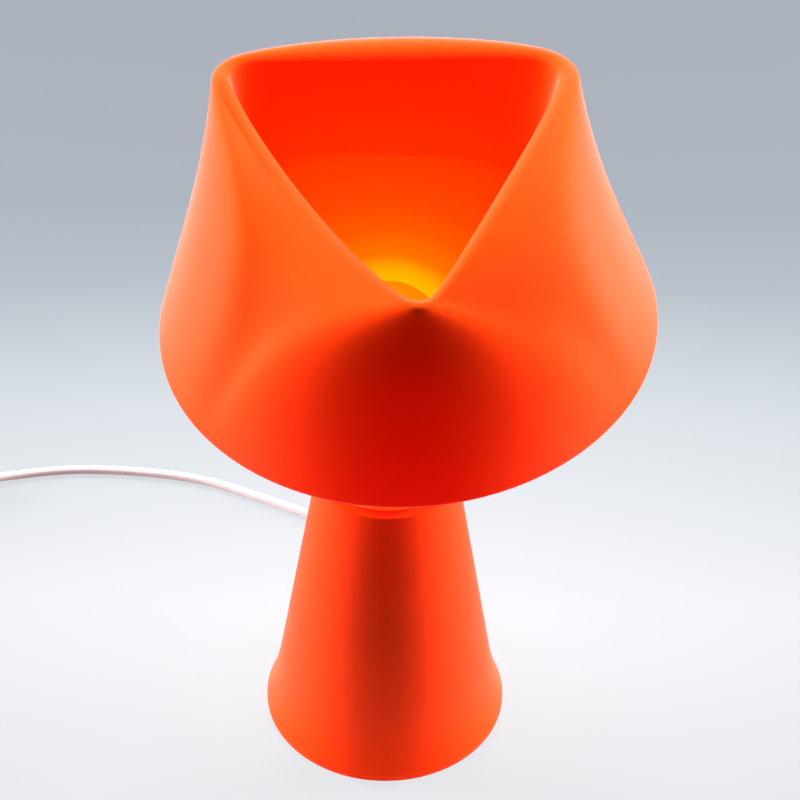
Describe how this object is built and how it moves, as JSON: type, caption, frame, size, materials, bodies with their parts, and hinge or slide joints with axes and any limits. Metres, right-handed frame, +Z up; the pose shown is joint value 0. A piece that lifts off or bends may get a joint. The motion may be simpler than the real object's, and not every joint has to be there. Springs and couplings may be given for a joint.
{
  "type": "table lamp",
  "caption": "Table lamp with a cone base under a silicone skin and a soft silicone funnel shade folded over into a loose three-sided cuff round a round-topped bulb.",
  "frame": {"origin": "centre of the round base's underside, on the table top", "axes": "+Z up along the base's axis; -Y to the front, where the folded shade has its point; the cord leaves the base at +Y"},
  "size_m": [0.5648, 0.3321, 0.4162],
  "materials": {
    "silicone": "satin translucent silicone",
    "foot": "matt foam rubber",
    "plate": "matt black paint",
    "ballast": "as cast, painted",
    "cone": "moulded, matt",
    "steel": "zinc plated",
    "holder": "moulded, satin",
    "contact": "plain brass",
    "cap_metal": "bright rolled",
    "insulator": "glazed black",
    "bulb_shell": "white, satin",
    "diffuser": "opal white, lit",
    "board": "white solder mask",
    "driver": "circuit board",
    "cord": "clear sheath over bright strands",
    "core": "stranded wire",
    "switch": "moulded, smooth",
    "tie": "soft strap"
  },
  "bodies": {
    "base": {"foot_pad": "foot", "base_plate": "plate", "plate_screws": "steel", "ballast": "ballast", "inner_cone": "cone", "base_cover": "silicone", "top_plate": "plate", "shade_seat": "holder", "threaded_tube": "steel", "stem_nuts": "steel", "stem_washers": "steel", "cord_gland": "holder", "cord_clamp": "holder", "clamp_screws": "steel", "inner_cord": "cord", "conductors": "core", "holder_cap": "holder", "holder_body": "holder", "holder_insert": "holder", "thread_shell": "contact", "centre_contact": "contact", "terminal_screws": "contact", "holder_ring": "holder", "cord_lead": "cord", "switch_lower": "switch", "switch_upper": "switch", "rocker_pin": "steel", "switch_terminals": "contact", "switch_spring": "contact", "switch_cores": "core", "switch_screws": "steel", "cord_between": "cord", "cord_coil": "cord", "coil_tie": "tie", "cord_tail": "cord", "plug_body": "switch", "plug_pins": "cap_metal", "pin_sleeves": "switch"},
    "shade": {"shade": "silicone"},
    "bulb_foot": {"bulb_contact": "contact"},
    "bulb": {"bulb_insulator": "insulator", "bulb_cap": "cap_metal", "bulb_housing": "bulb_shell", "bulb_diffuser": "diffuser", "led_board": "board", "led_driver": "driver"},
    "rocker": {"switch_rocker": "switch"}
  },
  "joints": [
    {"name": "shade_turn", "type": "hinge", "parent": "base", "child": "shade", "pos_m": [0, 0, 0.184], "axis": [0, 0, 1], "continuous": true},
    {"name": "bulb_lift", "type": "slide", "parent": "base", "child": "bulb_foot", "axis": [0, 0, 1], "range_m": [0, 0.027]},
    {"name": "bulb_turn", "type": "hinge", "parent": "bulb_foot", "child": "bulb", "pos_m": [0, 0, 0.2035], "axis": [0, 0, 1], "range_deg": [0, 2676]},
    {"name": "switch_rock", "type": "hinge", "parent": "base", "child": "rocker", "pos_m": [-0.29574, 0.16731, 0.0125], "axis": [0.3584, -0.9336, 0], "range_deg": [-16, 0]}
  ],
  "couplings": [
    {"joint": "bulb_lift", "follows": "bulb_turn", "m_per_rad": 0.00057773}
  ]
}
